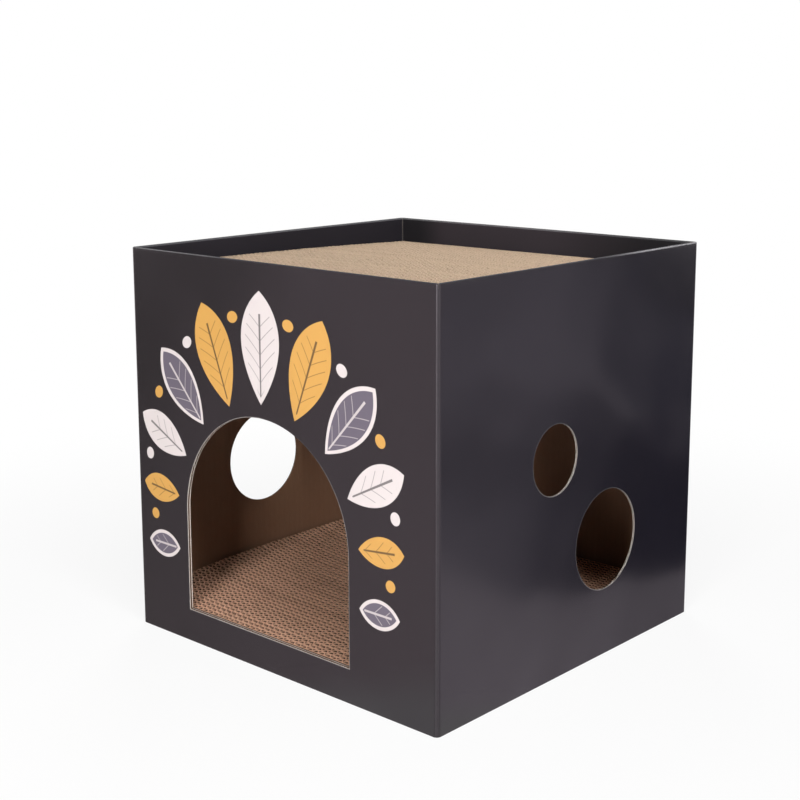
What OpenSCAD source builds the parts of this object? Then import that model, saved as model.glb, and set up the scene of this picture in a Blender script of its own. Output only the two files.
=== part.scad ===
// Cat condo: a corrugated-board house with an arched door, portholes, a folded rim and two scratching pads.
// The front faces -Y, +X is to the right of someone facing the door, and the origin is at the middle of the base.

/* [Body] */
// Outside width, left to right
body_w = 400; // [350:1:520]
// Outside depth, front to back
body_d = 402; // [350:1:520]
// Height to the top of the folded rim
body_h = 390; // [340:1:520]

/* [Board] */
// Thickness of the corrugated board
board_t = 4; // [3:0.1:6]
// Inside radius of the folds at the upright corners
fold_r = 0.5; // [0.5:0.5:8]
// Outside radius of the two edges of the rim's fold
rim_fold_r = 1.5; // [1:0.5:3]

/* [Door] */
// Width of the arched door
door_w = 220; // [140:1:260]
// Sideways place of the door's middle, from the middle of the front
door_x = -13.5; // [-25:0.5:25]
// Height of the sill above the ground
sill_h = 33; // [20:1:60]
// Height of the door's straight sides, from the sill to where the arch starts
door_side_h = 102; // [60:1:140]

/* [Portholes] */
// Diameter of the large portholes
porthole_d = 99; // [60:1:115]
// Diameter of the small porthole
small_porthole_d = 67; // [40:1:85]
// Front-to-back place of the right wall's large porthole, from the middle
right_large_y = 47.5; // [35:0.5:60]
// Height of the right wall's large porthole, at its middle
right_large_z = 116.5; // [105:0.5:130]
// Front-to-back place of the right wall's small porthole, from the middle
right_small_y = -37.5; // [-60:0.5:-25]
// Height of the right wall's small porthole, at its middle
right_small_z = 211.5; // [200:0.5:230]
// Front-to-back place of the left wall's large porthole, from the middle
left_large_y = -29; // [-45:0.5:45]
// Height of the left wall's large porthole, at its middle
left_large_z = 143.5; // [110:0.5:200]

/* [Pads] */
// Depth of the recess above the top pad
rim_h = 27; // [15:1:50]
// Thickness of each scratching pad
pad_t = 25; // [18:1:45]
// Thickness of one corrugated strip of a pad, glue line included
strip_t = 6.1; // [4:0.1:8]
// Gap between the top pad and the rim all round it
pad_gap = 1.5; // [0.8:0.1:4]
// Gap between the bottom pad and the front wall
pad_front_gap = 1; // [0.5:0.1:4]

/* [Deck] */
// Width of each leg that is folded down from the deck
leg_w = 60; // [30:1:85]

/* [Flaps] */
// Space between the ends of the two side flaps, in the middle of the floor
side_flap_space = 82; // [10:1:200]
// Gap of the seam between the front and back flaps
seam_gap = 2; // [0.5:0.5:8]
// Width of the glue flap that closes the wrap at the back left corner
glue_flap_w = 35; // [20:1:60]

/* [Hidden] */
// Fit between a loose or folded piece and its seat
fit_gap = 0.3;
// Slot cut at each end of a flap so that it clears the corner folds
flap_slot = 2;
// Glue line between neighbouring strips of a pad
glue_t = 0.1;
// Extra rounding of the inner boards at the corner folds
corner_relief = 1;
// How far a cut runs past what it cuts
cut_over = 5;
$fn = 96;

// Sides of the wrap, counted anticlockwise from above
SIDES = ["front", "right", "back", "left"];

outer_fold_r = fold_r + board_t;
rim_t = 2 * board_t;
wall_h = body_h - board_t;
mitre_run = rim_t + outer_fold_r + corner_relief;

side_floor_z = board_t + fit_gap;
floor_z = side_floor_z + board_t;
bottom_pad_z = floor_z + fit_gap;
top_pad_z = body_h - rim_h - pad_t;
deck_top_z = top_pad_z - fit_gap;
deck_z = deck_top_z - board_t;
leaf_z = deck_top_z + fit_gap;

pad_w = body_w - 2 * (rim_t + pad_gap);
pad_d = body_d - 2 * (rim_t + pad_gap);
strip_n = floor(pad_d / strip_t);
strip_pitch = pad_d / strip_n;
bottom_pad_y = pad_d / 2 + board_t + pad_front_gap - body_d / 2;

print_colour = "#3d373c";
kraft_colour = "#a5845f";
pad_colour = "#c2a47e";

// Quarter turns from the front to a side
function quarter_turns(side) = [for (i = [0 : len(SIDES) - 1]) if (SIDES[i] == side) i][0];

// Length of a side of the wrap, and the depth of the body behind that side
function side_l(side) = quarter_turns(side) % 2 == 0 ? body_w : body_d;
function side_depth(side) = quarter_turns(side) % 2 == 0 ? body_d : body_w;

// Turns a piece drawn on the front, seen from outside, to another side of the body
module on_side(side) {
    rotate([0, 0, 90 * quarter_turns(side)]) children();
}

// Rectangle with round corners, about the origin
module round_rect(w, d, r) {
    square([w - 2 * r, d], center = true);
    square([w, d - 2 * r], center = true);
    for (x = [-1, 1], y = [-1, 1]) {
        translate([x * (w / 2 - r), y * (d / 2 - r)]) circle(r = r);
    }
}

// Plan of the part of the body that belongs to one side, cut at 45 degrees through its corners
module mitre_plan(side) {
    half_l = side_l(side) / 2;
    half_d = side_depth(side) / 2;
    polygon([
        [-half_l - cut_over, -half_d - cut_over],
        [half_l + cut_over, -half_d - cut_over],
        [half_l - mitre_run, mitre_run - half_d],
        [mitre_run - half_l, mitre_run - half_d]
    ]);
}

// One wall of the wrap with its half of the two corner folds, before holes are cut
module wall_blank(side) {
    l = side_l(side);
    d = side_depth(side);
    linear_extrude(height = wall_h) intersection() {
        difference() {
            round_rect(l, d, outer_fold_r);
            round_rect(l - 2 * board_t, d - 2 * board_t, fold_r);
        }
        mitre_plan(side);
    }
}

// Cutter through the wall of a side, for a plan drawn as the wall is seen from outside
module wall_cut(side) {
    translate([0, board_t + cut_over - side_depth(side) / 2, 0])
        rotate([90, 0, 0])
        linear_extrude(height = board_t + 2 * cut_over) children();
}

// Outline of the door: straight sides from the sill, under a half-round arch
module door_plan() {
    translate([door_x - door_w / 2, sill_h]) square([door_w, door_side_h]);
    translate([door_x, sill_h + door_side_h]) intersection() {
        circle(d = door_w);
        translate([-door_w / 2, 0]) square(door_w);
    }
}

module front_panel() {
    color(print_colour) difference() {
        wall_blank("front");
        wall_cut("front") door_plan();
    }
}

module right_panel() {
    color(print_colour) on_side("right") difference() {
        wall_blank("right");
        wall_cut("right") {
            translate([right_large_y, right_large_z]) circle(d = porthole_d);
            translate([right_small_y, right_small_z]) circle(d = small_porthole_d);
        }
    }
}

module back_panel() {
    color(print_colour) on_side("back") wall_blank("back");
}

module left_panel() {
    color(print_colour) on_side("left") difference() {
        wall_blank("left");
        wall_cut("left") translate([-left_large_y, left_large_z]) circle(d = porthole_d);
    }
}

// Flap at the end of the wrap, glued to the inside of the back wall
module glue_flap() {
    color(kraft_colour)
        translate([board_t + flap_slot - body_w / 2, body_d / 2 - rim_t, floor_z + fit_gap])
        cube([glue_flap_w, board_t, deck_z - floor_z - 2 * fit_gap]);
}

// Section of the rim's fold: flat on top of the wall, with a round edge to each side
module rim_fold_section() {
    square([rim_t, board_t - rim_fold_r]);
    translate([rim_fold_r, 0]) square([rim_t - 2 * rim_fold_r, board_t]);
    for (x = [rim_fold_r, rim_t - rim_fold_r]) {
        translate([x, board_t - rim_fold_r]) circle(r = rim_fold_r);
    }
}

// Folded rim of one side: the fold over the wall's top, and the leaf that goes down inside to the deck
module rim(side) {
    l = side_l(side);
    d = side_depth(side);
    color(print_colour) on_side(side) union() {
        intersection() {
            translate([0, -d / 2, wall_h])
                rotate([90, 0, 90])
                linear_extrude(height = l + 2 * cut_over, center = true) rim_fold_section();
            translate([0, 0, wall_h]) linear_extrude(height = board_t + cut_over) intersection() {
                round_rect(l, d, outer_fold_r);
                mitre_plan(side);
            }
        }
        translate([0, 0, leaf_z]) linear_extrude(height = wall_h - leaf_z) intersection() {
            difference() {
                round_rect(l - rim_t, d - rim_t, fold_r + corner_relief);
                square([l - 2 * rim_t, d - 2 * rim_t], center = true);
            }
            mitre_plan(side);
        }
    }
}

// Flap that hinges at a crease along the bottom of a wall; z is its underside and l its length
module floor_flap(side, z, l) {
    w = side_l(side) - 2 * (board_t + flap_slot);
    color(kraft_colour) on_side(side)
        translate([0, 3 * board_t / 2 + fit_gap - side_depth(side) / 2, z + board_t / 2]) {
            rotate([0, 90, 0]) cylinder(d = board_t, h = w, center = true);
            translate([-w / 2, 0, -board_t / 2]) cube([w, l - board_t / 2, board_t]);
        }
}

// The front and back flaps lie lowest and meet at the seam
module seam_flap(side) {
    floor_flap(side, 0, body_d / 2 - board_t - fit_gap - seam_gap / 2);
}

// The side flaps lie on the front and back flaps and carry the deck's legs
module side_flap(side) {
    floor_flap(side, side_floor_z, body_w / 2 - board_t - fit_gap - side_flap_space / 2);
}

// Shelf under the top pad, held down by the leaves of the rim
module deck_board() {
    color(kraft_colour) translate([0, 0, deck_z]) linear_extrude(height = board_t)
        round_rect(
            body_w - 2 * (board_t + fit_gap),
            body_d - 2 * (board_t + fit_gap),
            fold_r + corner_relief
        );
}

// Leg folded down from the deck along a side wall; x is -1 for left and 1 for right
module deck_leg(x, y) {
    color(kraft_colour)
        translate([x * (body_w / 2 - board_t - fit_gap) - (x > 0 ? board_t : 0), y, floor_z])
        cube([board_t, leg_w, deck_z - floor_z]);
}

module front_leg(x) {
    deck_leg(x, board_t + flap_slot - body_d / 2);
}

// The back legs stand clear of the glue flap
module back_leg(x) {
    deck_leg(x, body_d / 2 - rim_t - fit_gap - leg_w);
}

// Scratching pad: corrugated strips on edge, running left to right and glued face to face
module pad() {
    color(pad_colour) for (i = [0 : strip_n - 1]) {
        translate([-pad_w / 2, i * strip_pitch + glue_t / 2 - pad_d / 2, 0])
            cube([pad_w, strip_pitch - glue_t, pad_t]);
    }
}

module top_pad() {
    translate([0, 0, top_pad_z]) pad();
}

module bottom_pad() {
    translate([0, bottom_pad_y, bottom_pad_z]) pad();
}

front_panel();
right_panel();
back_panel();
left_panel();
glue_flap();
rim("front");  // front_rim
rim("right");  // right_rim
rim("back");  // back_rim
rim("left");  // left_rim
seam_flap("front");  // front_floor_flap
seam_flap("back");  // back_floor_flap
side_flap("left");  // left_floor_flap
side_flap("right");  // right_floor_flap
deck_board();
front_leg(-1);  // front_left_leg
front_leg(1);  // front_right_leg
back_leg(-1);  // back_left_leg
back_leg(1);  // back_right_leg
top_pad();
bottom_pad();
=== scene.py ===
"""Cat condo: a corrugated board house with an arched door, portholes, a folded rim and two scratching pads.

Each board is built as corrugated board is: two flat liners with a wavy medium between them, so that every
cut edge shows its flutes. Lengths are in metres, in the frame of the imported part: +Z is up and the front
faces -Y.
"""
import math

import bpy
import numpy as np
from mathutils import Matrix, Vector


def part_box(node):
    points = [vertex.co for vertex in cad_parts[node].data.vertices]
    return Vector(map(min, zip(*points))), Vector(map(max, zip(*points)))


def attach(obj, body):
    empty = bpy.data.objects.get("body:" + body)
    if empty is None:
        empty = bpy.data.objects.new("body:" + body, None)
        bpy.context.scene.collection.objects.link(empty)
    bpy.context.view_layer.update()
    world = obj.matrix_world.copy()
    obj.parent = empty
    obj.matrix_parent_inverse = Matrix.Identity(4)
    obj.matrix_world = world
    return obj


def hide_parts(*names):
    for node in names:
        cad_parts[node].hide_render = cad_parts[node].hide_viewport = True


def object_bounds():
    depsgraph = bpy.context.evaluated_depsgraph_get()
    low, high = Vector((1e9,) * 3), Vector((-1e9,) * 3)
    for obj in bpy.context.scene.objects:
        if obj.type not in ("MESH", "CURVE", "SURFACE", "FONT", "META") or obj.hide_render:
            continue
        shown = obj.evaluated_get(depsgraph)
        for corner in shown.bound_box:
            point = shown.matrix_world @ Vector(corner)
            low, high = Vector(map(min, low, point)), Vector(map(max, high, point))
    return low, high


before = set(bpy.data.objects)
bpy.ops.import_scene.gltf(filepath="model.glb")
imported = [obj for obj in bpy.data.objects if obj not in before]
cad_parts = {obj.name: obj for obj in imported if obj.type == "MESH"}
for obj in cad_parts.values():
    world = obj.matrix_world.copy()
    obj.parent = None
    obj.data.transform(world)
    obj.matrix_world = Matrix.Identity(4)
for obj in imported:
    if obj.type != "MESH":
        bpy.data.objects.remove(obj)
cad_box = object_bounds()

MM = 0.001

# Sizes of the house, read from the frame
WIDTH, DEPTH, HEIGHT = cad_box[1] - cad_box[0]
WALL_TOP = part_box("front_panel")[1].z
LEAF_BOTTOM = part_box("front_rim")[0].z
BOARD = HEIGHT - WALL_TOP
FOLD_R = (WIDTH / 2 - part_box("front_panel")[1].x) / (1 - math.sqrt(0.5))

# Openings in the walls: places are along the wall as it is seen from outside, and up from the ground
DOOR_X = -13.5 * MM
DOOR_R = 110 * MM
DOOR_SILL = 33 * MM
DOOR_SPRING = 135 * MM
LARGE_R = 49.5 * MM
SMALL_R = 33.5 * MM
RIGHT_LARGE = (47.5 * MM, 116.5 * MM)
RIGHT_SMALL = (-37.5 * MM, 211.5 * MM)
LEFT_LARGE = (29 * MM, 143.5 * MM)

# How much the cut has pressed the board at an opening's edge, as a share, and how far that reaches
DOOR_PRESS_SHARE = 0.15
PORTHOLE_PRESS_SHARE = 0.64
PRESS_REACH = 5 * MM

# How far each side bows out in the middle of its top
BOW = {"front": 0.5 * MM, "right": 2.2 * MM, "back": 2.0 * MM, "left": 1.5 * MM}

# Layers and folds of the wall board
LINER = 0.6 * MM
MEDIUM = 0.35 * MM
FLUTE_PITCH = 7.8 * MM
CREASE_R = 0.9 * MM
RIM_LEAN = 0.13
MITRE_GAP = 0.05 * MM
DECK_CORNER_R = 3 * MM

# Fineness of the boards' grids
SAMPLES_PER_FLUTE = 10
FOLD_STEPS = 8
CORNER_STEPS = 5
OPENING_STEPS = 96
WALL_ROWS = 6
RIM_ROWS = (1, 5, 2, 5, 5)
LEAF_ROWS = 4
FLAP_ROWS = 3
NOSE_ROWS = 10
BOARD_ROWS = 4
COLUMN_GAP = 0.2 * MM
TINY = 0.001 * MM
SHARP_ANGLE = math.radians(35)

# Materials of a sheet's near face, far face and edges, by their numbers on a board:
# 0 the outside, 1 the inside, 2 the liners' cuts, 3 in among the flutes, in painted shade, 4 the medium's
# cuts
OUTER_LINER = [0, 3, 2]
FLUTED_MEDIUM = [3, 3, 4]
INNER_LINER = [3, 1, 2]

# Strips of the scratching pads
STRIP_COUNT = 62
STRIP_LINER = 0.6 * MM
STRIP_MEDIUM = 1.0 * MM
STRIP_FLUTE_PITCH = 7.75 * MM
STRIP_SAMPLES_PER_FLUTE = 7
STRIP_LINER_STEPS = 24
STRIP_GAP = 0.06 * MM
STRIP_SWAY = 0.18 * MM
SWAY_LENGTHS = (60 * MM, 200 * MM)
STRIP_RISE = 0.06 * MM
STRIP_END = 0.25 * MM
MEDIUM_DROP = 0.05 * MM
MEDIUM_FLARE = 1.3
MEDIUM_SKEW = 0.25

# Wear of the pads: the top one rises to the front and tilts to the right, the other curls at the left wall
TOP_RISE = 8.4 * MM
TOP_TILT = 1.7 * MM
BOTTOM_CURL = 12.0 * MM

# Each pad's paper, how much painted shade it gets down in the flutes, and how its flutes shift from strip to
# strip
PADS = {
    "top": {
        "pale": (0.76, 0.58, 0.42),
        "dark": (0.572, 0.418, 0.292),
        "deep": 0.6,
        "shift": 0.10,
        "spread": 0.45,
        "seed": 20,
    },
    "bottom": {
        "pale": (0.775, 0.466, 0.32),
        "dark": (0.555, 0.318, 0.212),
        "deep": 0.95,
        "shift": 1.22,
        "spread": 0.10,
        "seed": 21,
    },
}

# Inks, as linear colours
CHARCOAL = (0.0098, 0.0082, 0.0093)
DULL_CHARCOAL = (0.024, 0.0215, 0.027)
# Painted shade and painted sheen on the back rim's inner leaf
BACK_LEAF_PAINTED_SHADE = (0.0145, 0.0133, 0.0152)
BACK_LEAF_PAINTED_SHEEN = (0.037, 0.0305, 0.0355)
CREAM = (0.64, 0.575, 0.565)
OCHRE = (0.585, 0.313, 0.073)
SLATE = (0.12, 0.103, 0.134)
# Worn print with a painted highlight along the upright folds
FOLD_WEAR_AND_HIGHLIGHT = (0.30, 0.25, 0.29)
SCUFF_PALE = (0.4, 0.38, 0.38)

# Papers, as linear colours
PAPER_WHITE = (0.33, 0.30, 0.28)
GLUED_END = (0.26, 0.20, 0.155)
KRAFT = (0.315, 0.177, 0.108)
KRAFT_DARK = (0.222, 0.119, 0.070)
KRAFT_SPECK = (0.13, 0.075, 0.04)
CUT_EDGE = (0.74, 0.60, 0.46)
CUT_DARK = (0.50, 0.37, 0.26)
PALE_CUT = (0.95, 0.87, 0.81)
PALE_CUT_DARK = (0.82, 0.70, 0.62)
GREY_CUT = (0.86, 0.81, 0.75)
GREY_CUT_DARK = (0.60, 0.55, 0.49)
# Painted shade in among a board's flutes
FLUTE_PAINTED_SHADE = (0.085, 0.046, 0.028)
PAD_TICK = (0.17, 0.10, 0.06)
# Painted shade down in a pad's flutes
PAD_PAINTED_SHADE = (0.07, 0.036, 0.022)

# Painted highlight on the fold's outer edge of the two near rims: its colour, and how far it comes down
RIM_PAINTED_GLINT = {"front": ((0.15, 0.145, 0.15), 0.7 * MM), "right": ((0.40, 0.39, 0.41), 1.5 * MM)}

# Camera at the photograph's place
EYE = Vector((0.9400, -1.0700, 0.5517))
AZIMUTH, ELEVATION, ROLL = (math.radians(a) for a in (42.942, 9.998, -0.258))
LENS = 64.54
SENSOR = 36.0
SHIFT = (0.0297, -0.0842)

# Soft boxes, all turned to the door: place, width and height, and power
AIM = Vector((-0.015, -0.2, 0.15))
SOFT_BOXES = {
    "key": ((0.72, -2.20, 0.645), (0.60, 1.0), 43.5),
    "top": ((0.974, -0.818, 2.016), (1.0, 1.0), 23),
    "side": ((1.55, -0.49, 1.36), (0.5, 0.5), 11),
    "fill": ((-1.1, 1.09, 1.56), (0.8, 0.8), 12),
}

# Floor, and the cards that lie on it
WHITE = (1.0, 1.0, 1.0, 1.0)
FLOOR_GREY = (0.88, 0.88, 0.88, 1.0)
WORLD_LIGHT = 0.07
FLOOR_HALF = 6.0
FLOOR_Z = -0.2 * MM
CARD_Z = 0.5 * MM
CARD_REACH = 5.0


class Value:
    """A socket of a finish's node tree. Arithmetic on it adds Math nodes."""

    def __init__(self, finish, socket):
        self.finish = finish
        self.socket = socket

    def math(self, operation, *terms):
        return self.finish.node("ShaderNodeMath", {"operation": operation}, dict(enumerate(terms)))

    def __add__(self, other):
        return self.math("ADD", self, other)

    __radd__ = __add__

    def __sub__(self, other):
        return self.math("SUBTRACT", self, other)

    def __rsub__(self, other):
        return self.math("SUBTRACT", other, self)

    def __mul__(self, other):
        return self.math("MULTIPLY", self, other)

    __rmul__ = __mul__

    def __truediv__(self, other):
        return self.math("DIVIDE", self, other)

    def __rtruediv__(self, other):
        return self.math("DIVIDE", other, self)

    def __pow__(self, other):
        return self.math("POWER", self, other)

    def __mod__(self, other):
        return self.math("FLOORED_MODULO", self, other)

    def __abs__(self):
        return self.math("ABSOLUTE", self)

    def __lt__(self, other):
        return self.math("LESS_THAN", self, other)

    def __gt__(self, other):
        return self.math("GREATER_THAN", self, other)

    def least(self, other):
        return self.math("MINIMUM", self, other)

    def most(self, other):
        return self.math("MAXIMUM", self, other)

    def root(self):
        return self.math("SQRT", self)

    def sine(self):
        return self.math("SINE", self)

    def cosine(self):
        return self.math("COSINE", self)

    def exponent(self):
        return self.math("EXPONENT", self)

    def whole(self):
        return self.math("FLOOR", self)

    def angle_to(self, other):
        return self.math("ARCTAN2", self, other)

    def step(self, low, high):
        """0 below low and 1 above high, with a smooth rise between; reversed where low is above high."""
        settings = {"interpolation_type": "SMOOTHSTEP"}
        return self.finish.node("ShaderNodeMapRange", settings, {0: self, 1: low, 2: high})

    def window(self, low, rise, fall, high):
        """1 between rise and fall, and 0 below low and above high, with smooth slopes between."""
        return self.step(low, rise) * self.step(high, fall)


class Finish:
    """A material, or the world, whose node tree is written as expressions."""

    def __init__(self, name, world=False):
        self.owner = (bpy.data.worlds if world else bpy.data.materials).new(name)
        self.output = "ShaderNodeOutputWorld" if world else "ShaderNodeOutputMaterial"
        self.owner.use_nodes = True
        self.tree = self.owner.node_tree
        self.tree.nodes.clear()

    def node(self, kind, settings=None, inputs=None, out=0):
        """Adds a node: its settings are set first, then each input gets a value or a link.

        Returns the output that is asked for, if any."""
        added = self.tree.nodes.new(kind)
        for key, value in (settings or {}).items():
            setattr(added, key, value)
        for key, value in (inputs or {}).items():
            if isinstance(value, Value):
                self.tree.links.new(value.socket, added.inputs[key])
            else:
                added.inputs[key].default_value = value
        return None if out is None else Value(self, added.outputs[out])

    def place(self):
        """The point's place in the house's frame: the vector, and its x, y and z."""
        vector = self.node("ShaderNodeTexCoord", out="Object")
        axes = [self.node("ShaderNodeSeparateXYZ", inputs={0: vector}, out=i) for i in range(3)]
        return (vector, *axes)

    def stretched(self, vector, x, y, z):
        """The vector times a number along each axis: a number under 1 draws a pattern out along it."""
        return self.node("ShaderNodeVectorMath", {"operation": "MULTIPLY"}, {0: vector, 1: (x, y, z)})

    def noise(self, vector, scale, detail=3.0, roughness=0.55):
        inputs = {"Vector": vector, "Scale": scale, "Detail": detail, "Roughness": roughness}
        return self.node("ShaderNodeTexNoise", inputs=inputs)

    def mix(self, share, first, second, blend="MIX"):
        """Goes from the first colour to the second as share goes from 0 to 1."""
        first, second = (c if isinstance(c, Value) else (*c, 1.0) for c in (first, second))
        settings = {"data_type": "RGBA", "blend_type": blend, "clamp_factor": True}
        return self.node("ShaderNodeMix", settings, {0: share, 6: first, 7: second}, out=2)

    def bump(self, height, distance):
        return self.node("ShaderNodeBump", inputs={"Height": height, "Distance": distance, "Strength": 1.0})

    def shader(self, **inputs):
        """A Principled shader with these inputs."""
        named = {key.replace("_", " ").title().replace("Ior", "IOR"): value for key, value in inputs.items()}
        return self.node("ShaderNodeBsdfPrincipled", inputs=named)

    def seen(self):
        """1 for what the camera sees, straight or in a gloss or a pane, and 0 for what only gives light."""
        rays = ("Is Camera Ray", "Is Glossy Ray", "Is Transmission Ray")
        camera, glossy, through = (self.node("ShaderNodeLightPath", out=ray) for ray in rays)
        return camera.most(glossy).most(through)

    def ended(self, shader):
        """Ends the tree with this shader, and returns the material or the world."""
        self.node(self.output, inputs={"Surface": shader}, out=None)
        return self.owner


class Print(Finish):
    """Charcoal print on one side's board: the tones, the wear and the relief that walls and rims share."""

    def __init__(self, name, side):
        super().__init__(name)
        self.vector, self.x, self.y, self.z = self.place()
        self.run = self.x * side.along[0] + self.y * side.along[1]
        self.cloud = self.noise(self.vector, 7.0)
        self.mottle = self.noise(self.vector, 900.0, 2.0)
        self.ragged = self.noise(self.vector, 220.0, 4.0, 0.65)
        self.scuff = self.noise(self.stretched(self.vector, 1.0, 1.0, 0.35), 60.0, 6.0, 0.7).step(0.66, 0.80)
        tone = self.cloud * 0.35 + self.mottle * 0.25 + 0.70
        self.shade = self.node("ShaderNodeCombineColor", inputs={0: tone, 1: tone, 2: tone})
        corner = (abs(self.x) - (WIDTH / 2 - FOLD_R)).least(abs(self.y) - (DEPTH / 2 - FOLD_R))
        self.fold = corner.step(FOLD_R * 0.30, FOLD_R * 0.69) * (self.ragged * 0.5 + 0.55)

    def toned(self, ink):
        """The ink with the print's lighter and darker patches."""
        return self.mix(1.0, ink, self.shade, "MULTIPLY")

    def worn_and_highlighted(self, ink):
        """The ink, lighter along the upright folds, as worn print with a painted highlight, and where it is
        scuffed.
        """
        # Worn print and a painted highlight along the upright folds
        ink = self.mix(self.fold * 0.030, ink, FOLD_WEAR_AND_HIGHLIGHT)
        return self.mix(self.scuff * 0.05, ink, SCUFF_PALE)

    def relief(self, wear):
        """The normal: flutes that just show, slow waves, a swell towards the rim's middle, and wear."""
        swell_z, swell_r = 0.50, 0.15
        ripple = (self.run * (2 * math.pi / FLUTE_PITCH)).sine()
        wavy = self.noise(self.vector, 9.0, 1.0) * 3.2
        below = self.z - swell_z
        swell = ((self.run * self.run + below * below) * (-1 / swell_r**2)).exponent() * 7.0
        height = ripple * 0.004 + wavy + swell + self.mottle * 0.006 + self.ragged * wear * 0.02
        return self.bump(height, 1 * MM)

    def gloss(self, ink, wear, normal):
        """The print under its varnish, duller where it is worn."""
        varnish = self.cloud * 0.05 + self.mottle * 0.04 + self.scuff * 0.12 + 0.15
        return self.shader(
            base_color=ink,
            roughness=varnish + wear * 0.40 + self.fold * 0.42,
            normal=normal,
            specular_ior_level=0.5,
            specular_tint=(1.0, 0.92, 1.0, 1.0),
        )


def leaf_garland(finish, x, z, base):
    """Leaves that fan out round the door, over the base colour.

    The pattern lies along the door's edge: reach is the distance out from the edge, and run goes from the
    arch's top round the arch and down its sides. Each leaf is the overlap of two circles, one leaf to each
    stretch of run, and the leaves are longest at the top."""
    leaf_run = 58 * MM
    mid_reach = 48 * MM
    start = 13 * MM
    crisp = 0.25 * MM
    least_half, growth = 24 * MM, 29 * MM
    least_half_w = 6.5 * MM
    border = 3.4 * MM
    rib_half, vein_half, vein_run = 1.0 * MM, 0.6 * MM, 13 * MM
    berry_r = 5.5 * MM
    last_leaf, last_berry = 5.5, 4.5
    aside = abs(x - DOOR_X)
    above = (z - DOOR_SPRING).most(0.0)
    reach = (aside * aside + above * above).root() - DOOR_R
    run = aside.angle_to(above) * (DOOR_R + mid_reach) + (DOOR_SPRING - z).most(0.0)

    def half_length(number):
        """Half a leaf's length: the least, plus the growth times the cosine of its place round the arch."""
        angle = (number * (leaf_run / (DOOR_R + mid_reach))).least(math.pi / 2)
        return angle.cosine() * growth + least_half

    def within(distance, half):
        """1 inside half a width and 0 outside it, with a crisp edge."""
        return distance.step(half + crisp, half - crisp)

    number = (run / leaf_run + 0.5).whole()
    half_l = half_length(number)
    half_w = half_l * 0.30 + least_half_w
    across = abs(run - number * leaf_run)
    outward = reach - start - half_l
    # The circles have this radius, and their centres lie off the midrib by the radius less the half width
    radius = (half_l * half_l + half_w * half_w) / (half_w * 2)
    shift = across + radius - half_w
    inside = radius - (shift * shift + outward * outward).root()

    leaf = inside.step(-crisp, crisp) * (number < last_leaf)
    kind = number % 3
    is_slate = kind > 1.5
    colour = finish.mix(kind < 0.5, OCHRE, CREAM)
    inner = inside.step(border - crisp, border + crisp)
    colour = finish.mix(is_slate, colour, finish.mix(inner, CREAM, SLATE))
    # Midrib and side veins, cut short of the leaf's outline
    root = outward - across * 1.1
    vein = within(abs(root % vein_run - vein_run / 2), vein_half)
    vein = vein * (root - half_l * 0.40).step(crisp, -crisp)
    rib = within(across, rib_half) * (outward - half_l * 0.60).step(crisp, -crisp)
    marks = rib.most(vein * 0.6) * inside.step(border + 1.0 * MM, border + 1.6 * MM)
    colour = finish.mix(marks * 0.75, colour, finish.mix(is_slate, CHARCOAL, CREAM))
    base = finish.mix(leaf, base, colour)

    # Berries between the leaves' outer ends
    between = (run / leaf_run).whole()
    berry_x = run - (between + 0.5) * leaf_run
    berry_y = reach - start - half_length(between + 0.5) * 1.55
    berry = within((berry_x * berry_x + berry_y * berry_y).root(), berry_r)
    berry_colour = finish.mix((between % 2) > 0.5, OCHRE, CREAM)
    return finish.mix(berry * (between < last_berry), base, berry_colour)


def wall_print(side):
    """Print of a wall: leaves on the front, pale burrs round the openings, and the wrap's glued seam."""
    finish = Print(f"{side.name}_print", side)
    ink = finish.toned(CHARCOAL)
    if side.name == "front":
        ink = leaf_garland(finish, finish.x, finish.z, ink)
    ink = finish.worn_and_highlighted(ink)
    wear = finish.fold
    torn = finish.ragged * 0.9 + 0.35
    if side.name in ("back", "left"):
        # The wrap's cut end shows down the corner where it is glued
        seam = abs(finish.x + finish.y + (WIDTH - DEPTH) / 2).step(1.0 * MM, 0.5 * MM) * torn
        ink = finish.mix(seam, ink, GLUED_END)
        wear = wear.most(seam)
    for opening in side.openings:
        burr = opening.burr(finish.run, finish.z) * torn
        ink = finish.mix(burr, ink, PAPER_WHITE)
        wear = wear.most(burr)
    return finish.ended(finish.gloss(ink, wear, finish.relief(wear)))


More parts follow.
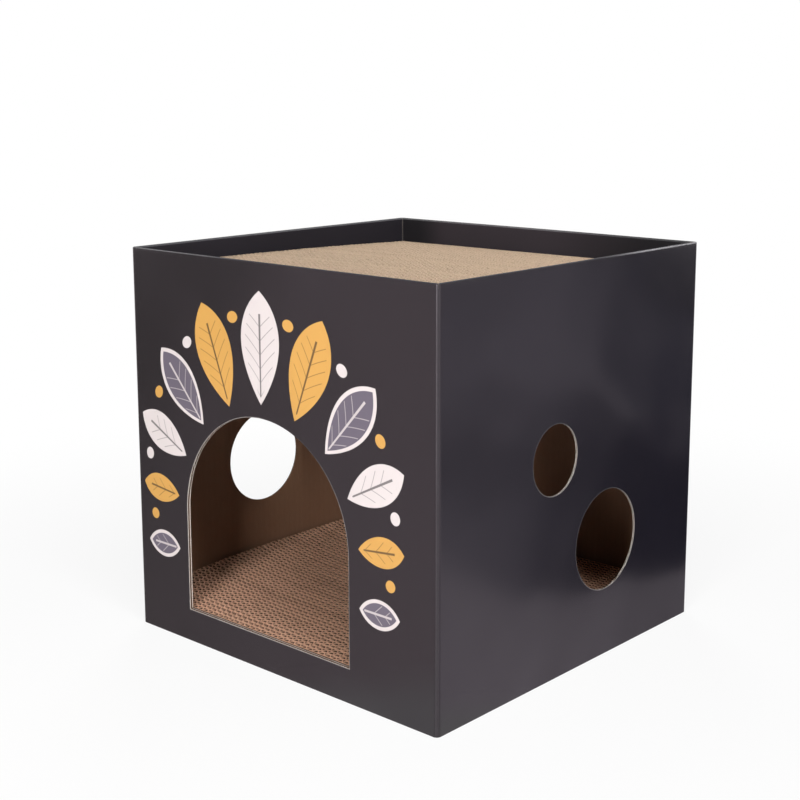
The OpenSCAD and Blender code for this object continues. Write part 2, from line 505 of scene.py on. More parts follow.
def rim_print(side):
    """Print of a rim: varnished outside, and bare ink on the fold's top and down the leaf inside."""
    finish = Print(f"{side.name}_rim_print", side)
    x, y, z = finish.x, finish.y, finish.z
    normal = finish.relief(finish.fold)
    gloss = finish.gloss(finish.worn_and_highlighted(finish.toned(CHARCOAL)), finish.fold, normal)
    ink = DULL_CHARCOAL
    if side.name == "back":
        # A soft painted sheen along the middle of the leaf, with painted shade towards its ends
        ink = finish.mix(x.window(-0.17, -0.12, 0.0, 0.16), BACK_LEAF_PAINTED_SHADE, BACK_LEAF_PAINTED_SHEEN)
    ink = finish.toned(ink)
    inset = (WIDTH / 2 - abs(x)).least(DEPTH / 2 - abs(y))
    bare = inset.step(BOARD, 1.2 * BOARD).most(z.step(HEIGHT - 0.9 * MM, HEIGHT - 0.5 * MM))
    if side.name in RIM_PAINTED_GLINT:
        # The fold's outer edge gets a painted highlight, pale towards the rim's far end
        pale, deep = RIM_PAINTED_GLINT[side.name]
        far = (WIDTH / 2 - x).most(y + DEPTH / 2).step(0.22, 0.33)
        edge = z.step(HEIGHT - deep, HEIGHT - deep * 0.6) * inset.step(1.4 * MM, 0.8 * MM)
        painted_glint = edge * far * (finish.ragged * 0.6 + 0.6)
        ink = finish.mix(painted_glint, ink, pale)
        bare = bare.most(painted_glint)
    # Its cut ends show pale where they meet in the corners
    mitre = abs(abs(x) - WIDTH / 2 - abs(y) + DEPTH / 2).step(1.3 * MM, 0.6 * MM)
    ink = finish.mix(mitre * 0.22, ink, PAPER_WHITE)
    roughness = finish.mottle * 0.1 + 0.6
    dull = finish.shader(base_color=ink, roughness=roughness, normal=normal, specular_ior_level=0.08)
    return finish.ended(finish.node("ShaderNodeMixShader", inputs={0: bare, 1: gloss, 2: dull}))


def kraft_board(name, along, colour=KRAFT, dark=KRAFT_DARK):
    """Bare kraft liner: long fibres, specks, and faint bands where the flutes are glued behind it."""
    finish = Finish(name)
    vector, x, y, _ = finish.place()
    run = {"x": x, "y": y}[along]
    fibre = finish.noise(finish.stretched(vector, 1.0, 1.0, 0.12), 900.0, 4.0, 0.7)
    cloud = finish.noise(vector, 14.0)
    speck = finish.noise(vector, 1500.0, 1.0).step(0.70, 0.78)
    band = (run * (2 * math.pi / FLUTE_PITCH)).sine() * 0.5 + 0.5
    share = fibre * 0.55 + cloud * 0.45 + band * 0.05 - 0.20
    tint = finish.mix(share.step(0.0, 1.0), dark, colour)
    tint = finish.mix(speck * 0.5, tint, KRAFT_SPECK)
    height = fibre * 0.03 + band * 0.008
    kraft_paper = finish.shader(
        base_color=tint,
        roughness=fibre * 0.15 + 0.74,
        normal=finish.bump(height, 1 * MM),
        specular_ior_level=0.25,
    )
    return finish.ended(kraft_paper)


def cut_board(name, colour=CUT_EDGE, dark=CUT_DARK, sill=None):
    """Raw cut paper: pale, with ragged fibres, and darker along a sill as painted shade of the flutes'
    hollows.
    """
    finish = Finish(name)
    vector, _, _, z = finish.place()
    fibre = finish.noise(vector, 1400.0, 4.0, 0.7)
    cloud = finish.noise(vector, 60.0, 2.0)
    tint = finish.mix((fibre * 0.8 + cloud * 0.5 - 0.25).step(0.0, 0.85), dark, colour)
    if sill is not None:
        # Painted shade of the flutes' hollows, darker along the sill
        tint = finish.mix(z.step(sill + 2 * MM, sill + 0.5 * MM), tint, KRAFT_DARK)
    raw_paper = finish.shader(
        base_color=tint,
        roughness=fibre * 0.15 + 0.8,
        normal=finish.bump(fibre, 0.15 * MM),
        specular_ior_level=0.2,
    )
    return finish.ended(raw_paper)


def pad_lift(node, x, y):
    """How much the top of a pad is raised.

    The pad on the deck has warped up along its front edge, as a parabola, and tilts evenly to the right. The
    pad on the floor curls up by the left wall, as the eighth power of the way across, and less by the door,
    where the sixth power of the way forward is taken off.
    """
    low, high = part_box(node)
    forward = (high.y - y) / (high.y - low.y)
    aside = (x - low.x) / (high.x - low.x)
    if node == "top_pad":
        return forward * (2 - forward) * TOP_RISE + aside * TOP_TILT
    across = (1 - aside) * (1 - aside)
    across = across * across
    near = forward * forward * forward
    return across * across * (1 - near * near) * BOTTOM_CURL


def pad_board(name, node, pale, dark, deep):
    """Paper of a pad: each strip has its own tone, with fibres and ticks, and painted shade down in the
    flutes.
    """
    finish = Finish(name)
    low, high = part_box(node)
    vector, x, y, z = finish.place()
    strip = ((y - low.y) * (STRIP_COUNT / (high.y - low.y))).whole()
    tone = finish.node("ShaderNodeTexWhiteNoise", {"noise_dimensions": "1D"}, {"W": strip})
    fibre = finish.noise(vector, 1100.0, 4.0, 0.7)
    patch = finish.noise(vector, 160.0)
    share = (tone * 0.06 + fibre * 0.45 + patch * 0.60 - 0.08).step(0.0, 1.0)
    tint = finish.mix(share, dark, pale)
    tick = finish.noise(finish.stretched(vector, 1.0, 0.45, 1.0), 420.0, 2.0).step(0.60, 0.70)
    tint = finish.mix(tick * 0.45, tint, PAD_TICK)
    # Painted shade: darker below the pad's top, down in the flutes
    below = pad_lift(node, x, y) + high.z - z
    tint = finish.mix(below.step(-0.2 * MM, 0.9 * MM) * deep, tint, PAD_PAINTED_SHADE)
    pad_paper = finish.shader(
        base_color=tint,
        roughness=fibre * 0.12 + 0.80,
        normal=finish.bump(fibre, 0.12 * MM),
        specular_ior_level=0.2,
    )
    return finish.ended(pad_paper)


def new_piece(name, points, faces, kinds, materials):
    """A mesh object from arrays: points, a list of face arrays, and the material number of each array."""
    mesh = bpy.data.meshes.new(name)
    listed = [face for part in faces for face in part.tolist()]
    mesh.from_pydata(points.tolist(), [], listed)
    numbers = np.repeat(kinds, [len(part) for part in faces])
    mesh.polygons.foreach_set("material_index", numbers.astype(np.int32))
    mesh.shade_smooth()
    mesh.set_sharp_from_angle(angle=SHARP_ANGLE)
    for material in materials:
        mesh.materials.append(material)
    mesh.validate()
    piece = bpy.data.objects.new(name, mesh)
    bpy.context.scene.collection.objects.link(piece)
    return piece


def joined(shells):
    """The points and the face arrays of several shells, each (points, face arrays), as those of one."""
    points, faces, start = [], [], 0
    for shell, parts in shells:
        points.append(shell)
        faces += [part + start for part in parts]
        start += len(shell)
    return np.concatenate(points), faces


def band_grid(columns, bands):
    """Points (run, rise) and quads of a flat sheet with openings.

    Each band is (lower, upper, rows, present): the sheet between the curves lower(run) and upper(run), in
    rows that are closer together by the curves, on the gaps between columns where present is true. Bands
    that meet along a curve share its points."""
    points, quads, start = [], [], 0
    for lower, upper, rows, present in bands:
        share = (0.5 - 0.5 * np.cos(np.linspace(0, np.pi, rows + 1)))[:, None]
        rise = lower + (upper - lower) * share
        index = start + np.arange(rise.size).reshape(rise.shape)
        corners = [index[:-1, :-1], index[:-1, 1:], index[1:, 1:], index[1:, :-1]]
        quads.append(np.stack(corners, -1)[:, present].reshape(-1, 4))
        points.append(np.stack([np.broadcast_to(columns, rise.shape), rise], -1).reshape(-1, 2))
        start += rise.size
    points, quads = np.concatenate(points), np.concatenate(quads)
    keys = np.round(points / TINY).astype(np.int64)
    _, first, merged = np.unique(keys, axis=0, return_index=True, return_inverse=True)
    quads = merged.reshape(-1)[quads]
    used, quads = np.unique(quads, return_inverse=True)
    return points[first][used], quads.reshape(-1, 4)


def plain_grid(columns, stops, rows):
    """A grid without openings: one band of rows from each stop to the next."""
    zero, there = np.zeros_like(columns), np.full(len(columns) - 1, True)
    spans = zip(stops, stops[1:], rows)
    return band_grid(columns, [(zero + a, zero + b, count, there) for a, b, count in spans])


def flute_columns(half_run, half=None):
    """Even columns from one end of a run to the other, a few to each flute, scaled to half if it is given."""
    count = round(2 * half_run / FLUTE_PITCH * SAMPLES_PER_FLUTE)
    half = half_run if half is None else half
    return np.linspace(-half, half, count + 1)


def closed_sheet(grid, place, near, far):
    """A paper sheet of a board: the grid placed at the depths near and far, and joined along every edge."""
    points, quads = grid
    run, rise = points.T
    count = len(points)
    shell = np.concatenate([place(run, rise, near(run)), place(run, rise, far(run))])
    heads = quads.reshape(-1)
    tails = np.roll(quads, -1, axis=1).reshape(-1)
    edge = ~np.isin(heads * count + tails, tails * count + heads)
    a, b = heads[edge], tails[edge]
    rim = np.stack([b, a, a + count, b + count], -1)
    return shell, [quads, quads[:, ::-1] + count, rim]


def liner_sheet(grid, place, depth, kinds):
    """A liner: a sheet whose near face lies at one depth."""

    def face(at):
        return lambda run: np.full_like(run, at)

    return grid, place, face(depth), face(depth + LINER), kinds


def medium_sheet(grid, place, thickness, stretch=1.0):
    """A board's medium: its middle is a sine wave along the run, times stretch, that touches both liners."""
    room = thickness - 2 * LINER

    def face(offset):
        def depth(run):
            swing = (room - MEDIUM) / 2 * np.sin(2 * np.pi * (run * stretch) / FLUTE_PITCH)
            return LINER + room / 2 + swing + offset

        return depth

    return grid, place, face(-MEDIUM / 2), face(MEDIUM / 2), FLUTED_MEDIUM


def board_sheets(grid, place, thickness=BOARD):
    """The three sheets of a board: outer liner, wavy medium and inner liner."""
    return [
        liner_sheet(grid, place, 0.0, OUTER_LINER),
        medium_sheet(grid, place, thickness),
        liner_sheet(grid, place, thickness - LINER, INNER_LINER),
    ]


def corrugated(name, sheets, materials):
    """One board from its sheets, each (grid, place, near depth, far depth, materials of its faces)."""
    shells = [closed_sheet(*sheet[:4]) for sheet in sheets]
    kinds = [number for sheet in sheets for number in sheet[4]]
    return new_piece(name, *joined(shells), kinds, materials)


def spaced(essential, extra):
    """Sorted columns: all the essential ones, and the extra ones that keep clear of them and each other."""
    essential = np.unique(np.round(essential, 9))
    extra = np.unique(np.round(extra, 9))
    extra = extra[np.abs(extra[:, None] - essential).min(1) > COLUMN_GAP]
    extra = extra[np.concatenate([[True], np.diff(extra) > COLUMN_GAP])]
    return np.sort(np.concatenate([essential, extra]))


class Opening:
    """A hole in a wall, as two curves over the run of the wall. Straight sides rise from sill to spring."""

    def __init__(self, middle, spring, radius, sill=None):
        self.middle, self.spring, self.radius, self.sill = middle, spring, radius, sill

    def half_height(self, run):
        """Half the circle's height over the run: the root of radius squared less way aside squared."""
        return np.sqrt(np.clip(self.radius**2 - (run - self.middle) ** 2, 0, None))

    def upper(self, run):
        """The edge above: the spring plus half the circle's height."""
        return self.spring + self.half_height(run)

    def lower(self, run):
        """The edge below: the sill, or the spring less half the circle's height."""
        return self.spring - self.half_height(run) if self.sill is None else np.full_like(run, self.sill)

    def past_edge(self, run, rise):
        """How far a point of the wall is outside the opening's edge, as a value in a finish."""
        above = rise - self.spring if self.sill is None else (rise - self.spring).most(0.0)
        reach = ((run - self.middle) ** 2 + above**2).root() - self.radius
        return reach if self.sill is None else reach.most(self.sill - rise)

    def burr(self, run, rise):
        """The pale burr along the cut's outer edge, as a value in a finish.

        Its strength is partly painted light: it is palest at a porthole's lower right, and at the door along
        the left and low down."""
        edge = self.past_edge(run, rise).step(0.85 * MM, 0.40 * MM)
        if self.sill is None:
            # Painted light: the burr is stronger towards a porthole's lit lower right
            painted_light_slope = (run - self.middle - (rise - self.spring)) / self.radius
            return edge * (painted_light_slope.step(-1.0, 1.0) * 0.42 + 0.27)
        # Painted light: stronger along the door's left and low down
        lower = rise.step(self.spring + 100 * MM, self.spring + 40 * MM) * 0.8 + 0.12
        hand = (run - self.middle).step(-20 * MM, 20 * MM)
        return edge * (lower * hand * 0.7 + lower.most(0.75) * (1 - hand))

    def pressed(self, run, rise):
        """How much the cut has pressed the board: most at the edge, and nothing a few millimetres away."""
        above = rise - self.spring if self.sill is None else np.maximum(rise - self.spring, 0)
        reach = np.hypot(run - self.middle, above) - self.radius
        reach = reach if self.sill is None else np.maximum(reach, self.sill - rise)
        most = PORTHOLE_PRESS_SHARE if self.sill is None else DOOR_PRESS_SHARE
        return most * np.exp(-((np.clip(reach, 0, None) / PRESS_REACH) ** 2))

    def ends(self):
        """The two ends of the opening's run."""
        return np.array([self.middle - self.radius, self.middle + self.radius])

    def columns(self):
        """Columns that are closer together where the edge is steep."""
        return self.middle - self.radius * np.cos(np.linspace(0, np.pi, OPENING_STEPS + 1))


def rim_stops():
    """Lengths along the rim's outer face to the end of its upright, first turn, top, second turn and leaf."""
    turn, top = CREASE_R * math.pi / 2, 2 * (BOARD - CREASE_R)
    leaf = HEIGHT - CREASE_R - RIM_LEAN * top - LEAF_BOTTOM
    return tuple(np.cumsum([BOARD - CREASE_R, turn, top, turn, leaf]))


class Side:
    """One side of the house, seen from outside: along runs to the right, and out points at the viewer."""

    def __init__(self, name, quarter_turns, openings=()):
        angle = quarter_turns * math.pi / 2
        self.name = name
        self.along = np.array([math.cos(angle), math.sin(angle), 0.0])
        self.out = np.array([math.sin(angle), -math.cos(angle), 0.0])
        self.up = np.array([0.0, 0.0, 1.0])
        facing = quarter_turns % 2 == 0
        self.half_run, self.reach = (WIDTH / 2, DEPTH / 2) if facing else (DEPTH / 2, WIDTH / 2)
        self.axis = "x" if facing else "y"
        self.bow = BOW[name]
        self.openings = openings

    def world(self, run, out, rise):
        """Places in the house's frame, from the run to the right, the way out and the rise."""
        return run[:, None] * self.along + out[:, None] * self.out + rise[:, None] * self.up

    def bowed(self, run, rise):
        """How far the board bows out: a cosine squared along the run, times the rise squared."""
        return self.bow * np.cos(np.clip(run / self.half_run, -1, 1) * np.pi / 2) ** 2 * (rise / HEIGHT) ** 2

    def wall_place(self, run, rise, depth):
        """Straight along the side, then round the corner fold at each end; depth goes in from outside."""
        for opening in self.openings:
            depth = depth * (1 - opening.pressed(run, rise))
        flat = self.half_run - FOLD_R
        angle = np.clip(np.abs(run) - flat, 0, None) / FOLD_R
        radius = FOLD_R - depth
        across = np.sign(run) * (np.minimum(np.abs(run), flat) + radius * np.sin(angle))
        out = self.reach - FOLD_R + radius * np.cos(angle)
        return self.world(across, out + self.bowed(run, rise), rise)

    def wall(self, materials):
        """The wall: columns along its run, in bands of rows between its openings."""
        fold_start = self.half_run - FOLD_R
        end = fold_start + FOLD_R * math.pi / 4
        folds = np.linspace(fold_start, end, FOLD_STEPS + 1)
        essential = np.concatenate([folds, -folds, *(o.ends() for o in self.openings)])
        waves = np.arange(-end, end, FLUTE_PITCH / SAMPLES_PER_FLUTE)
        columns = spaced(essential, np.concatenate([waves, *(o.columns() for o in self.openings)]))
        middles = (columns[1:] + columns[:-1]) / 2
        everywhere = np.full(len(middles), True)
        floor, bands = np.zeros_like(columns), []
        for opening in sorted(self.openings, key=lambda o: o.spring):
            bands.append((floor, opening.lower(columns), WALL_ROWS, everywhere))
            floor = opening.upper(columns)
            if opening.sill is not None:
                beside = np.abs(middles - opening.middle) > opening.radius
                bands.append((opening.lower(columns), floor, WALL_ROWS, beside))
        bands.append((floor, np.full_like(columns, WALL_TOP), WALL_ROWS, everywhere))
        sheets = board_sheets(band_grid(columns, bands), self.wall_place)
        return corrugated(f"{self.name}_wall", sheets, materials)

    def rim_place(self, share, path, depth):
        """Path goes up the outer face, over the flat fold and down inside; share is along the rim's length.

        The fold turns twice, by a quarter circle each time, and its flat top leans inwards. The outer part of
        the rim turns round the corner's fold as far as the mitre, and the inner part is mitred."""
        upright, turned, across, turned_down, _ = rim_stops()
        first = np.clip((path - upright) / CREASE_R, 0, math.pi / 2)
        second = np.clip((path - across) / CREASE_R, 0, math.pi / 2)
        bent = first + second
        over = np.clip(path, turned, across) - turned
        inset = CREASE_R * (1 - np.cos(first) + np.sin(second)) + over + depth * np.cos(bent)
        rise = CREASE_R * (np.sin(first) + np.cos(second) - 1) - depth * np.sin(bent) - RIM_LEAN * over
        rise = WALL_TOP + rise + np.minimum(path, upright) - np.clip(path - turned_down, 0, None)
        flat = self.half_run - FOLD_R
        radius = np.clip(FOLD_R - inset, 0, None)
        length = np.where(radius > 0, flat + radius * math.pi / 4, self.half_run - inset) - MITRE_GAP
        gone = np.abs(share) * length
        turn = np.clip(gone - flat, 0, None) / np.maximum(radius, TINY)
        run = np.sign(share) * (np.minimum(gone, flat) + radius * np.sin(turn))
        out = self.reach - inset - radius * (1 - np.cos(turn))
        return self.world(run, out + self.bowed(run, rise), rise)

    def rim(self, materials):
        """The folded rim: its printed liner goes over the fold, and the leaf inside has all three sheets."""
        share = flute_columns(self.half_run, 1)
        stops = (0.0, *rim_stops())
        leaf_start = stops[-1] - (WALL_TOP - LEAF_BOTTOM)
        leaf_grid = plain_grid(share, (leaf_start, stops[-1]), (LEAF_ROWS,))
        sheets = [
            liner_sheet(plain_grid(share, stops, RIM_ROWS), self.rim_place, 0.0, OUTER_LINER),
            medium_sheet(leaf_grid, self.rim_place, BOARD, self.half_run),
            liner_sheet(leaf_grid, self.rim_place, BOARD - LINER, INNER_LINER),
        ]
        return corrugated(f"{self.name}_folded_rim", sheets, materials)

    def floor_flap(self, node, materials):
        """A floor flap: a liner that goes round the crease's nose, with the medium between its leaves."""
        low, high = (np.array(corner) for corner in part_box(node))
        spans = np.array([low @ self.out, high @ self.out])
        nose, free = spans.max(), spans.min()
        length, half_t = nose - free, (high[2] - low[2]) / 2
        half_w = np.abs((high - low) @ self.along) / 2
        straight, arc = length - half_t, math.pi * half_t

        def skin(run, path, depth):
            """From the free edge along the underside, round the nose by half a circle, and back on top."""
            angle = np.clip((path - straight) / half_t, 0, math.pi)
            slide = np.clip(straight - path, 0, None) + np.clip(path - straight - arc, 0, None)
            inward = half_t + slide - (half_t - depth) * np.sin(angle)
            return self.world(run, nose - inward, low[2] + half_t - (half_t - depth) * np.cos(angle))

        def core(run, path, depth):
            """Straight from the free edge towards the nose."""
            return self.world(run, free + path, low[2] + depth)

        columns = flute_columns(half_w)
        stops = (0.0, straight, straight + arc, 2 * straight + arc)
        skin_grid = plain_grid(columns, stops, (FLAP_ROWS, NOSE_ROWS, FLAP_ROWS))
        core_grid = plain_grid(columns, stops[:2], (FLAP_ROWS,))
        sheets = [
            liner_sheet(skin_grid, skin, 0.0, OUTER_LINER),
            medium_sheet(core_grid, core, 2 * half_t),
        ]
        return corrugated(f"{self.name}_flap_board", sheets, materials)


def flat_board(name, node, along, up, materials, corner_r=0.0):
    """A loose flat board in a node's box: its near face points along the cross product of along and up."""
    low, high = (np.array(corner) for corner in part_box(node))
    middle = (low + high) / 2
    along, up = np.array(along, float), np.array(up, float)
    normal = np.cross(along, up)
    half_run, half_rise, half_t = (np.abs((high - low) @ axis) / 2 for axis in (along, up, normal))

    def place(run, rise, depth):
        """Out from the middle to the near face, then along the run, up the rise and in by the depth."""
        near = middle + normal * half_t
        return near + run[:, None] * along + rise[:, None] * up - depth[:, None] * normal

    rounds = half_run - corner_r * (1 - np.cos(np.linspace(0, np.pi / 2, CORNER_STEPS + 1)))
    columns = spaced(np.concatenate([rounds, -rounds]), flute_columns(half_run))
    past = np.clip(np.abs(columns) - (half_run - corner_r), 0, corner_r)
    drop = corner_r - np.sqrt(corner_r**2 - past**2)
    band = (drop - half_rise, half_rise - drop, BOARD_ROWS, np.full(len(columns) - 1, True))
    return corrugated(name, board_sheets(band_grid(columns, [band]), place, 2 * half_t), materials)


def ribbons(x, front, back, bottom, top):
    """Closed upright ribbons along x, each a row of front and back places in y, and of bottom and top."""
    count, steps = front.shape
    corners = [(front, bottom), (front, top), (back, top), (back, bottom)]
    grid = np.stack([np.stack(np.broadcast_arrays(x, y, z), -1) for y, z in corners], 2)
    index = np.arange(count * steps * 4).reshape(count, steps, 4)
    here, there = index[:, :-1], index[:, 1:]
    walls = [
        np.stack([here[..., a], there[..., a], there[..., b], here[..., b]], -1).reshape(-1, 4)
        for a, b in ((0, 1), (1, 2), (2, 3), (3, 0))
    ]
    caps = np.concatenate([index[:, 0], index[:, -1, ::-1]])
    sides = np.concatenate([walls[0], walls[2], walls[3]])
    cuts = np.concatenate([walls[1], caps])
    return grid.reshape(-1, 3), [sides, cuts]


def scratching_pad(name, node, seed, shift, spread, materials):
    """Strips of corrugated board on edge: each has two liners and a wave between, a bit uneven at the top.

    The wave is a sine with a share of its second harmonic, thicker on its slopes. Its phase shifts from each
    strip to the next by a drawn angle."""
    low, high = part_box(node)
    draw = np.random.default_rng(seed)
    pitch = (high.y - low.y) / STRIP_COUNT
    starts = low.y + pitch * np.arange(STRIP_COUNT)[:, None]
    x_liner = np.linspace(low.x, high.x, STRIP_LINER_STEPS + 1)
    waves = (high.x - low.x) / STRIP_FLUTE_PITCH
    x_wave = np.linspace(low.x, high.x, round(waves * STRIP_SAMPLES_PER_FLUTE) + 1)

    def wander(x, size):
        """A slow wander along each strip: the mean of two sine waves with drawn phases and lengths."""
        phase = draw.uniform(0, 2 * np.pi, (2, STRIP_COUNT, 1))
        length = draw.uniform(*SWAY_LENGTHS, (2, STRIP_COUNT, 1))
        return size * np.sin(2 * np.pi * x / length + phase).mean(0)

    rise = draw.normal(0, STRIP_RISE, (STRIP_COUNT, 1))
    ends = draw.normal(0, STRIP_END, (STRIP_COUNT, 1))
    bottom = np.full((STRIP_COUNT, 1), low.z)
    sway = wander(x_liner, STRIP_SWAY)
    sway_wave = np.stack([np.interp(x_wave, x_liner, row) for row in sway])
    shells = []
    for offset in (STRIP_GAP, pitch - STRIP_LINER - STRIP_GAP):
        front = starts + offset + sway
        top = high.z + pad_lift(node, x_liner, starts) + rise + wander(x_liner, STRIP_RISE)
        shells.append(ribbons(x_liner + ends, front, front + STRIP_LINER, bottom, top))
    swing = (pitch - 2 * STRIP_LINER - STRIP_MEDIUM) / 2 - STRIP_GAP
    phase = np.cumsum(draw.normal(shift, spread, (STRIP_COUNT, 1)), axis=0)
    turn = 2 * np.pi * x_wave / STRIP_FLUTE_PITCH + phase
    wave = np.sin(turn) + MEDIUM_SKEW * np.cos(2 * turn) + MEDIUM_SKEW
    half = STRIP_MEDIUM / 2 * (1 + MEDIUM_FLARE * (1 - wave**2))
    wave = starts + pitch / 2 + swing * wave + sway_wave
    top = high.z + pad_lift(node, x_wave, starts) + rise - MEDIUM_DROP + wander(x_wave, STRIP_RISE)
    shells.append(ribbons(x_wave + ends, wave - half, wave + half, bottom, top))
    return new_piece(name, *joined(shells), [0, 1] * len(shells), materials)


def stand_in(piece, node, body):
    """Shows the piece in place of a CAD node, on the node's body."""
    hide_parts(node)
    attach(piece, body)


def photo_camera():
    """The camera: turned about the upright, tipped down from level, and rolled, then moved to its place."""
    data = bpy.data.cameras.new("camera")
    data.lens = LENS
    data.sensor_width = SENSOR
    data.shift_x, data.shift_y = SHIFT
    camera = bpy.data.objects.new("camera", data)
    turn = Matrix.Rotation(AZIMUTH, 4, "Z") @ Matrix.Rotation(math.pi / 2 - ELEVATION, 4, "X")
    camera.matrix_world = Matrix.Translation(EYE) @ turn @ Matrix.Rotation(ROLL, 4, "Z")
    bpy.context.scene.collection.objects.link(camera)
    bpy.context.scene.camera = camera


def soft_box(name, place, size, power):
    """A rectangle of light at a place, turned to the door."""
    lamp = bpy.data.lights.new(name, "AREA")
    lamp.shape = "RECTANGLE"
    lamp.size, lamp.size_y = size
    lamp.energy = power
    light = bpy.data.objects.new(name, lamp)
    light.location = place
    light.rotation_euler = (AIM - Vector(place)).to_track_quat("-Z", "Y").to_euler()
    bpy.context.scene.collection.objects.link(light)


def studio_world():
    """White for what the camera and reflections see, and a softer grey as light."""
    finish = Finish("studio", world=True)
    inputs = {"Value": finish.seen(), "To Min": WORLD_LIGHT, "To Max": 1.0}
    strength = finish.node("ShaderNodeMapRange", inputs=inputs)
    light = finish.node("ShaderNodeBackground", inputs={"Color": WHITE, "Strength": strength})
    bpy.context.scene.world = finish.ended(light)


def one_face(name, corners, material):
    """A flat piece of one face, from its four corners."""
    return new_piece(name, np.array(corners), [np.array([[0, 1, 2, 3]])], [0], [material])


def pale_floor():
    """A pale floor that keeps the shadow near the house and goes to plain white farther off."""
    finish = Finish("pale_floor")
    _, x, y, _ = finish.place()
    far = (x * x + y * y).root().step(0.30, 1.0) * 0.15 + 0.85
    paper = finish.node("ShaderNodeBsdfDiffuse", inputs={"Color": FLOOR_GREY})
    white = finish.node("ShaderNodeEmission", inputs={"Color": WHITE, "Strength": 1.0})
    inputs = {0: far * finish.seen(), 1: paper, 2: white}
    material = finish.ended(finish.node("ShaderNodeMixShader", inputs=inputs))
    signs = ((-1, -1), (1, -1), (1, 1), (-1, 1))
    floor = one_face("floor", [(i * FLOOR_HALF, j * FLOOR_HALF, FLOOR_Z) for i, j in signs], material)


def reflection_card(name, start, full, end, colour):
    """A glowing card lying beside the house on the floor, a painted reflection seen in reflections alone.

    It reaches to the right of the house's middle, as the camera sees it, from start to end. It is clear at
    its start and solid from full on. Its colour is a function of the finish, of the reach to the right and of
    the reach ahead."""
    finish = Finish(name)
    _, x, y, _ = finish.place()
    right = Vector((math.cos(AZIMUTH), math.sin(AZIMUTH), 0))
    ahead = Vector((-math.sin(AZIMUTH), math.cos(AZIMUTH), 0))
    aside = x * right.x + y * right.y
    along = x * ahead.x + y * ahead.y
    glow = finish.node("ShaderNodeEmission", inputs={"Color": colour(finish, aside, along)})
    clear = finish.node("ShaderNodeBsdfTransparent")
    inputs = {0: aside.step(start, full), 1: clear, 2: glow}
    material = finish.ended(finish.node("ShaderNodeMixShader", inputs=inputs))
    low, high = sorted((start, end))
    spots = ((low, -CARD_REACH), (high, -CARD_REACH), (high, CARD_REACH), (low, CARD_REACH))
    card = one_face(name, [right * u + ahead * v + Vector((0, 0, CARD_Z)) for u, v in spots], material)
    card.visible_camera = False
    card.visible_diffuse = False
    card.visible_transmission = False
    card.visible_shadow = False


def room_painted_reflection(finish, aside, along):
    """Painted reflection of the table beside the house, and beyond its edge a room with a pale band and
    streaks, with painted shade ahead.
    """
    table = finish.mix(along.step(-0.28, 0.03), (0.98, 0.90, 1.0), (0.545, 0.50, 0.565))
    lit = finish.mix(aside.window(0.62, 0.80, 1.05, 1.25), (0.55, 0.52, 0.62), (0.35, 0.335, 0.41))
    lit = finish.mix(aside.window(1.15, 1.40, 1.55, 1.90), lit, (0.74, 0.70, 0.82))
    unlit = finish.mix(aside.step(0.90, 1.30), (0.05, 0.05, 0.10), (0.095, 0.10, 0.165))
    unlit = finish.mix(aside.step(1.90, 2.40), unlit, (0.03, 0.035, 0.06))
    skew = along - aside * 0.30
    room = finish.mix(skew.step(-0.34, -0.16), lit, unlit)
    near_streak = along.window(0.10, 0.16, 0.20, 0.27) * aside.window(0.98, 1.12, 1.40, 1.65)
    far_streak = along.window(0.33, 0.38, 0.42, 0.48) * aside.window(1.50, 1.65, 2.10, 2.30)
    room = finish.mix(near_streak.most(far_streak * 0.65), room, (0.54, 0.51, 0.58))
    room = finish.mix(skew.step(0.10, 0.34), room, (0.72, 0.68, 0.76))
    edge = along.most(-0.15) * 0.45 + (-0.17 - along).most(0.0) * 2.0
    return finish.mix((aside - edge).step(0.37, 0.42), table, room)


def dim_painted_reflection(finish, aside, along):
    """Painted reflection of the table and the room to the left, with painted shade in a stretch ahead."""
    return finish.mix(along.window(-0.40, 0.28, 0.35, 0.65), (0.88, 0.76, 0.80), (0.24, 0.22, 0.21))


# The four sides
openings = {
    "front": [Opening(DOOR_X, DOOR_SPRING, DOOR_R, DOOR_SILL)],
    "right": [Opening(*RIGHT_LARGE, LARGE_R), Opening(*RIGHT_SMALL, SMALL_R)],
    "left": [Opening(*LEFT_LARGE, LARGE_R)],
}
sides = [Side(name, turns, openings.get(name, ())) for turns, name in enumerate(BOW)]

# Papers, and the papers of plain boards and of the walls' cut edges
kraft = {axis: kraft_board(f"kraft_{axis}", axis) for axis in "xy"}
cut_edge = cut_board("cut_edge")
flute_edge = cut_board("flute_edge", KRAFT, KRAFT_DARK)
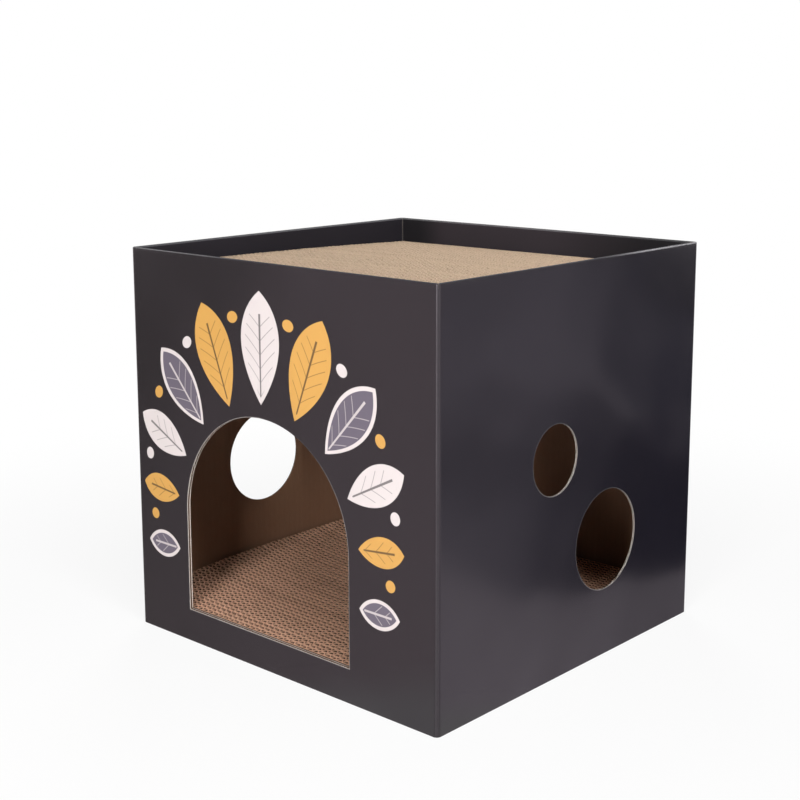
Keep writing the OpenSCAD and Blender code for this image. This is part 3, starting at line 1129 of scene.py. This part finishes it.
# Dark kraft in among the flutes, as painted shade
flute_shade = kraft_board("flute_shade", "x", FLUTE_PAINTED_SHADE, FLUTE_PAINTED_SHADE)
pale_cut = cut_board("pale_cut", PALE_CUT, PALE_CUT_DARK)
pale_flutes_shaded_sill = cut_board("pale_flutes_shaded_sill", PALE_CUT, PALE_CUT_DARK, DOOR_SILL)
grey_cut = cut_board("grey_cut", GREY_CUT, GREY_CUT_DARK)
plain_edges = (cut_edge, flute_shade, flute_edge)
wall_edges = {"front": (pale_cut, flute_shade, pale_flutes_shaded_sill), "right": (grey_cut, flute_shade, grey_cut)}
plain_kraft = {axis: [kraft[axis], kraft[axis], *plain_edges] for axis in "xy"}

# Walls, rims and floor flaps
flap_bodies = {"front": "front_flap", "back": "back_flap"}
for side in sides:
    wall = side.wall([wall_print(side), kraft[side.axis], *wall_edges.get(side.name, plain_edges)])
    stand_in(wall, f"{side.name}_panel", "house")
    rim = side.rim([rim_print(side), kraft[side.axis], *plain_edges])
    stand_in(rim, f"{side.name}_rim", "house")
    flap = side.floor_flap(f"{side.name}_floor_flap", plain_kraft[side.axis])
    stand_in(flap, f"{side.name}_floor_flap", flap_bodies.get(side.name, "house"))

# Boards inside
X, Y, Z = (1, 0, 0), (0, 1, 0), (0, 0, 1)
deck = flat_board("deck_shelf", "deck_board", X, Y, plain_kraft["x"], DECK_CORNER_R)
stand_in(deck, "deck_board", "house")
glued = flat_board("glued_flap", "glue_flap", X, Z, plain_kraft["x"])
stand_in(glued, "glue_flap", "house")
for hand, along in (("left", Y), ("right", (0, -1, 0))):
    for end in ("front", "back"):
        leg = flat_board(f"{end}_{hand}_leg_board", f"{end}_{hand}_leg", along, Z, plain_kraft["y"])
        stand_in(leg, f"{end}_{hand}_leg", "house")

# Pads
for name, pad in PADS.items():
    node = f"{name}_pad"
    paper = pad_board(f"{node}_paper", node, pad["pale"], pad["dark"], pad["deep"])
    cut = pad_board(f"{node}_cut", node, pad["pale"], pad["dark"], 0.0)
    drift = (pad["shift"], pad["spread"])
    strips = scratching_pad(f"{name}_scratching_pad", node, pad["seed"], *drift, [paper, cut])
    stand_in(strips, node, node)

# Studio
photo_camera()
studio_world()
pale_floor()
reflection_card("room_card", 0.02, 0.10, CARD_REACH, room_painted_reflection)
reflection_card("dim_card", -0.04, -0.15, -CARD_REACH, dim_painted_reflection)
for name, (place, size, power) in SOFT_BOXES.items():
    soft_box(name, place, size, power)
bpy.context.scene.view_settings.view_transform = "Standard"
